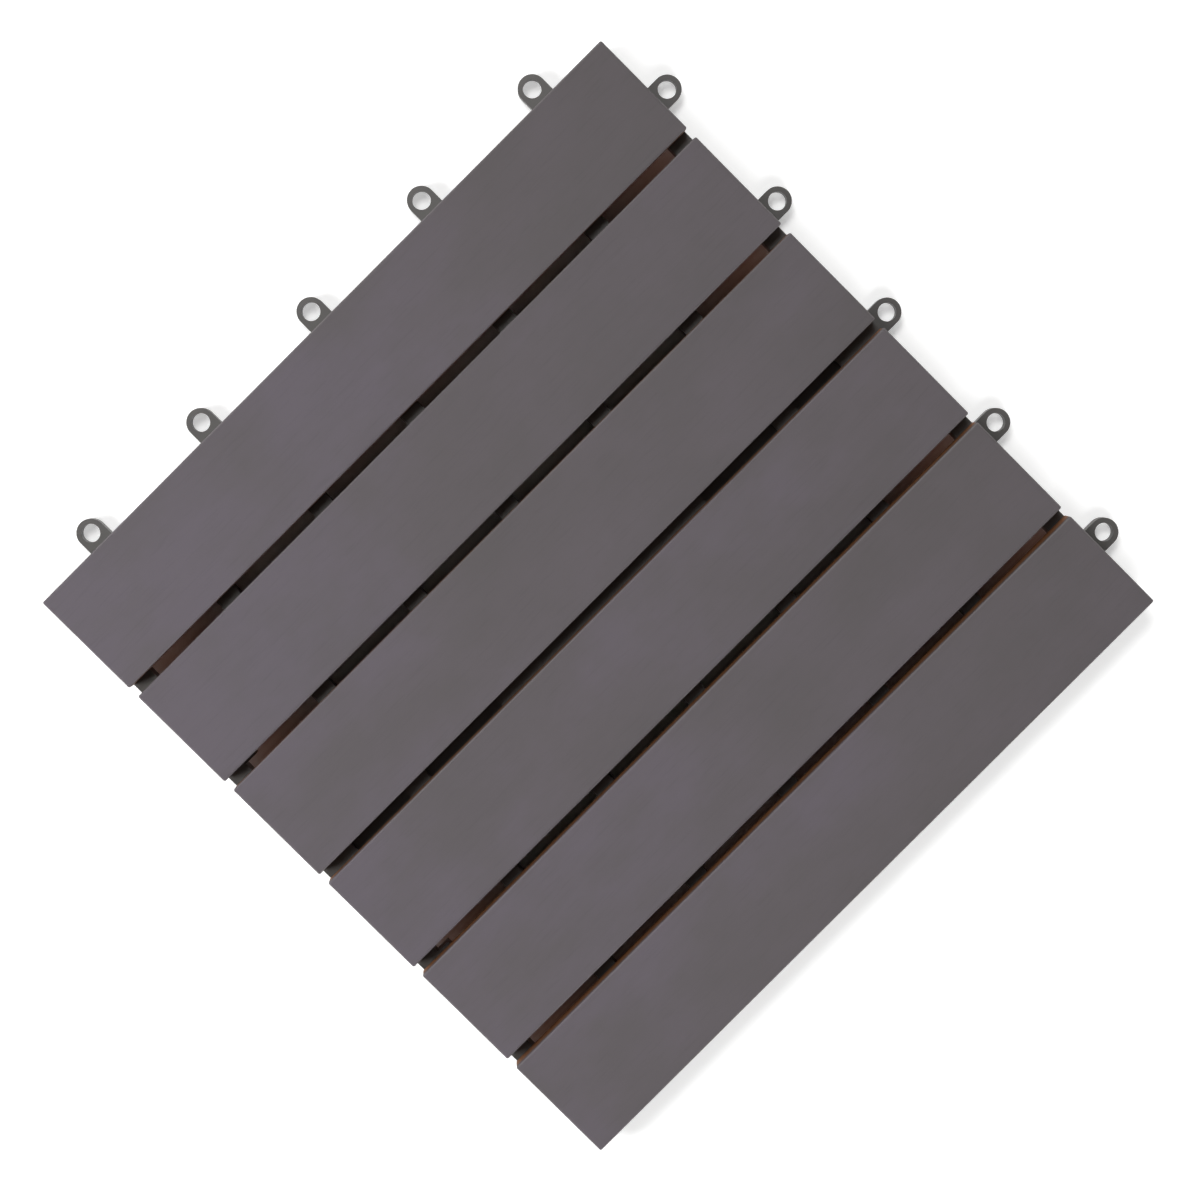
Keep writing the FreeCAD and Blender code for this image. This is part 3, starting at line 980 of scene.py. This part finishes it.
@dataclass
class Studio:
    """The plain pale floor, the soft light and the camera straight above.

    The height of a direction is the Z of its unit vector: up to the horizon's height the sky glows, and
    from the overhead height on it is nearly dark. Every lamp stands so far across the slats that its light
    doesn't reach down through the gaps.
    """

    floor_reach: float = 6.0
    camera_place: tuple = (-0.075, 0.030, 1.2)
    aim: tuple = (0.0, 0.0, 0.012)
    view_up: tuple = (-1.0, 1.0, 0.0)
    view_width: float = 0.462
    sensor: float = 36.0
    horizon_height: float = 0.28
    horizon_glow: float = 1.5
    overhead_height: float = 0.5
    overhead_glow: float = 0.008
    lamps: tuple = (
        Lamp("key", (-1.2, 0.5, 2.7), 0.85, 41.0),
        Lamp("near_fill", (-0.5, -0.75, 1.0), 0.4, 9.5),
        Lamp("far_fill", (0.75, -0.3, 1.4), 0.5, 8.5),
    )

    def build(self) -> None:
        """Set up the floor, the light and the camera."""
        self.floor()
        self.sky()
        for lamp in self.lamps:
            self.light(lamp)
        self.camera()
        bpy.context.scene.view_settings.view_transform = "Standard"

    def floor(self) -> None:
        """Lay a wide flat floor at the height of the tile's feet."""
        corners = self.floor_reach * np.array([(-1, -1, 0), (1, -1, 0), (1, 1, 0), (-1, 1, 0)], float)
        floor = new_piece("floor", corners, np.array([[0, 1, 2, 3]]))
        floor.data.materials.append(FloorPaint().build())

    def sky(self) -> None:
        """Make the light brighten from overhead to the horizon, as between a studio's pale walls."""
        world = bpy.data.worlds.new("studio")
        bpy.context.scene.world = world
        world.use_nodes = True
        nodes, links = world.node_tree.nodes, world.node_tree.links
        axes = nodes.new("ShaderNodeSeparateXYZ")
        links.new(nodes.new("ShaderNodeTexCoord").outputs["Generated"], axes.inputs["Vector"])
        ramp = nodes.new("ShaderNodeValToRGB")
        stops = ((self.horizon_height, self.horizon_glow), (self.overhead_height, self.overhead_glow))
        for element, (height, glow) in zip(ramp.color_ramp.elements, stops):
            element.position = height
            element.color = (glow, glow, glow, 1.0)
        links.new(axes.outputs["Z"], ramp.inputs["Fac"])
        links.new(ramp.outputs["Color"], nodes["Background"].inputs["Color"])

    def light(self, lamp: Lamp) -> None:
        """Hang a lamp so that it faces the tile.

        Args:
            lamp: the lamp's place, size and power.
        """
        light = bpy.data.lights.new(lamp.name, "AREA")
        light.shape = "SQUARE"
        light.size = lamp.side
        light.energy = lamp.power
        hung = bpy.data.objects.new(lamp.name, light)
        hung.location = lamp.place
        hung.rotation_euler = (Vector(self.aim) - Vector(lamp.place)).to_track_quat("-Z", "Y").to_euler()
        bpy.context.scene.collection.objects.link(hung)

    def camera(self) -> None:
        """Look down on the tile with the corner between its two rows of loops at the top of the view."""
        lens = bpy.data.cameras.new("camera")
        place, aim = Vector(self.camera_place), Vector(self.aim)
        lens.sensor_width = self.sensor
        lens.lens = self.sensor * (aim - place).length / self.view_width
        camera = bpy.data.objects.new("camera", lens)
        ahead = (aim - place).normalized()
        right = ahead.cross(Vector(self.view_up)).normalized()
        turn = Matrix((right, right.cross(ahead), -ahead)).transposed().to_4x4()
        camera.matrix_world = Matrix.Translation(place) @ turn
        bpy.context.scene.collection.objects.link(camera)
        bpy.context.scene.camera = camera


def main() -> None:
    """Load the frame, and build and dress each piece."""
    logging.basicConfig(level=logging.INFO, format="%(name)s: %(message)s")
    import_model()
    Slats().build()
    BaseMoulding().build()
    Screws().build()
    Studio().build()


if __name__ == "__main__":
    main()
